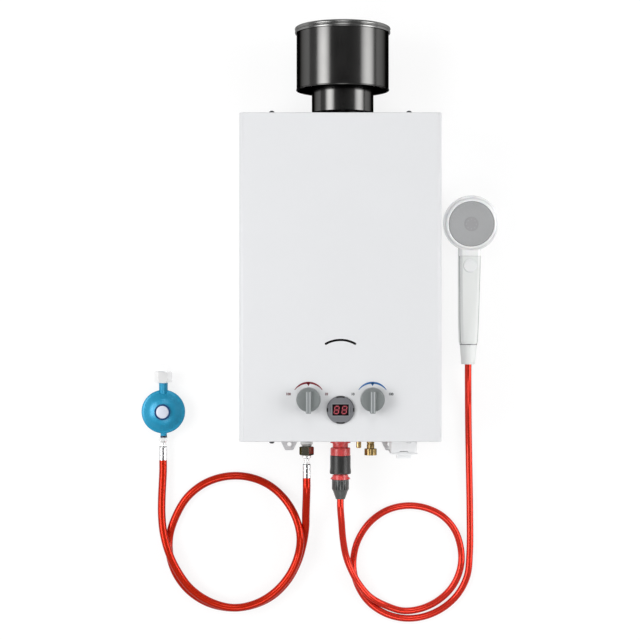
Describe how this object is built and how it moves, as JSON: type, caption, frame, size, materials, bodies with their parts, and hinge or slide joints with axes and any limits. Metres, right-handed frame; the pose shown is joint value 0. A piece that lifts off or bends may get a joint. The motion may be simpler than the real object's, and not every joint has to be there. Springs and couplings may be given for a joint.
{
  "type": "portable gas water heater",
  "caption": "Portable gas water heater on its back: white casing, knobs, display, mirror-finish rain cap, gas hose with regulator, and shower hose with hand shower.",
  "frame": {"origin": "middle of the casing's flat back, on the surface that the kit lies on", "axes": "+X across the casing to the right as seen from the front, +Y up the casing towards the rain cap, +Z out of the front cover"},
  "size_m": [0.5498, 0.911, 0.1603],
  "materials": {
    "white_coat": "satin",
    "steel": "satin",
    "dark_mirror": "polished",
    "grey_plastic": "satin",
    "charcoal_plastic": "satin",
    "window": "gloss",
    "board": "satin",
    "sight_pane": "gloss",
    "copper": "satin",
    "brass": "satin",
    "cast_alloy": "cast",
    "ceramic": "matt",
    "dark_nickel": "satin",
    "chrome": "polished",
    "white_plastic": "gloss",
    "red_plastic": "satin",
    "cell_wrap": "gloss",
    "blue_lacquer": "metallic",
    "orange_rubber": "satin",
    "red_rubber": "gloss"
  },
  "bodies": {
    "heater": {"back_plate": "white_coat", "bottom_panel": "white_coat", "top_panel": "white_coat", "front_cover": "white_coat", "cover_screws": "steel", "sight_glass": "sight_pane", "display_bezel": "grey_plastic", "display_window": "window", "display_board": "board", "flue_collar": "dark_mirror", "flue_neck": "dark_mirror", "cap_brackets": "dark_mirror", "cap_drum": "dark_mirror", "cap_lid": "dark_mirror", "combustion_chamber": "copper", "fins": "copper", "water_tubes": "copper", "flue_hood": "steel", "overheat_switch": "ceramic", "burner_frame": "steel", "burner_bars": "steel", "gas_manifold": "cast_alloy", "electrodes": "ceramic", "gas_valve": "cast_alloy", "gas_pipe": "steel", "water_valve": "brass", "micro_switch": "charcoal_plastic", "cold_pipe": "copper", "hot_pipe": "copper", "ignition_box": "charcoal_plastic", "gas_inlet": "cast_alloy", "gas_nut": "dark_nickel", "gas_tail": "chrome", "hose_ferrules": "chrome", "drain_plug": "brass", "cold_inlet": "brass", "tap_adapter": "red_plastic", "connector_body": "red_plastic", "hose_nut": "grey_plastic", "battery_box": "white_plastic", "battery_cells": "cell_wrap", "battery_contacts": "steel", "shower_head": "white_plastic", "shower_handle": "white_plastic", "spray_ring": "white_plastic", "spray_face": "grey_plastic", "hose_collar": "white_plastic", "regulator_body": "blue_lacquer", "regulator_bonnet": "blue_lacquer", "regulator_tail": "chrome", "gas_hose": "orange_rubber", "shower_hose": "red_rubber"},
    "gas_control": {"gas_knob": "grey_plastic", "gas_spindle": "steel"},
    "water_control": {"water_knob": "grey_plastic", "water_spindle": "steel"},
    "battery_door": {"battery_lid": "white_plastic"},
    "button": {"push_button": "white_plastic"},
    "sleeve": {"release_sleeve": "charcoal_plastic"},
    "nut": {"bottle_nut": "chrome"}
  },
  "joints": [
    {"name": "gas_knob_turn", "type": "hinge", "parent": "heater", "child": "gas_control", "pos_m": [-0.047, -0.18, 0.138], "axis": [0, 0, 1], "range_deg": [-75, 75]},
    {"name": "water_knob_turn", "type": "hinge", "parent": "heater", "child": "water_control", "pos_m": [0.047, -0.18, 0.138], "axis": [0, 0, 1], "range_deg": [-75, 75]},
    {"name": "battery_lid_hinge", "type": "hinge", "parent": "heater", "child": "battery_door", "pos_m": [0.095, -0.2622, 0.0288], "axis": [1, 0, 0], "range_deg": [0, 95]},
    {"name": "push_button_press", "type": "slide", "parent": "heater", "child": "button", "axis": [0, 0, -1], "range_m": [0, 0.002], "stiffness_N_per_m": 500, "springref_m": -0.002},
    {"name": "release_sleeve_slide", "type": "slide", "parent": "heater", "child": "sleeve", "axis": [0, -1, 0], "range_m": [0, 0.004], "stiffness_N_per_m": 800, "springref_m": -0.003},
    {"name": "bottle_nut_turn", "type": "hinge", "parent": "heater", "child": "nut", "pos_m": [-0.272, -0.1515, 0.015], "axis": [0, 1, 0], "continuous": true}
  ]
}
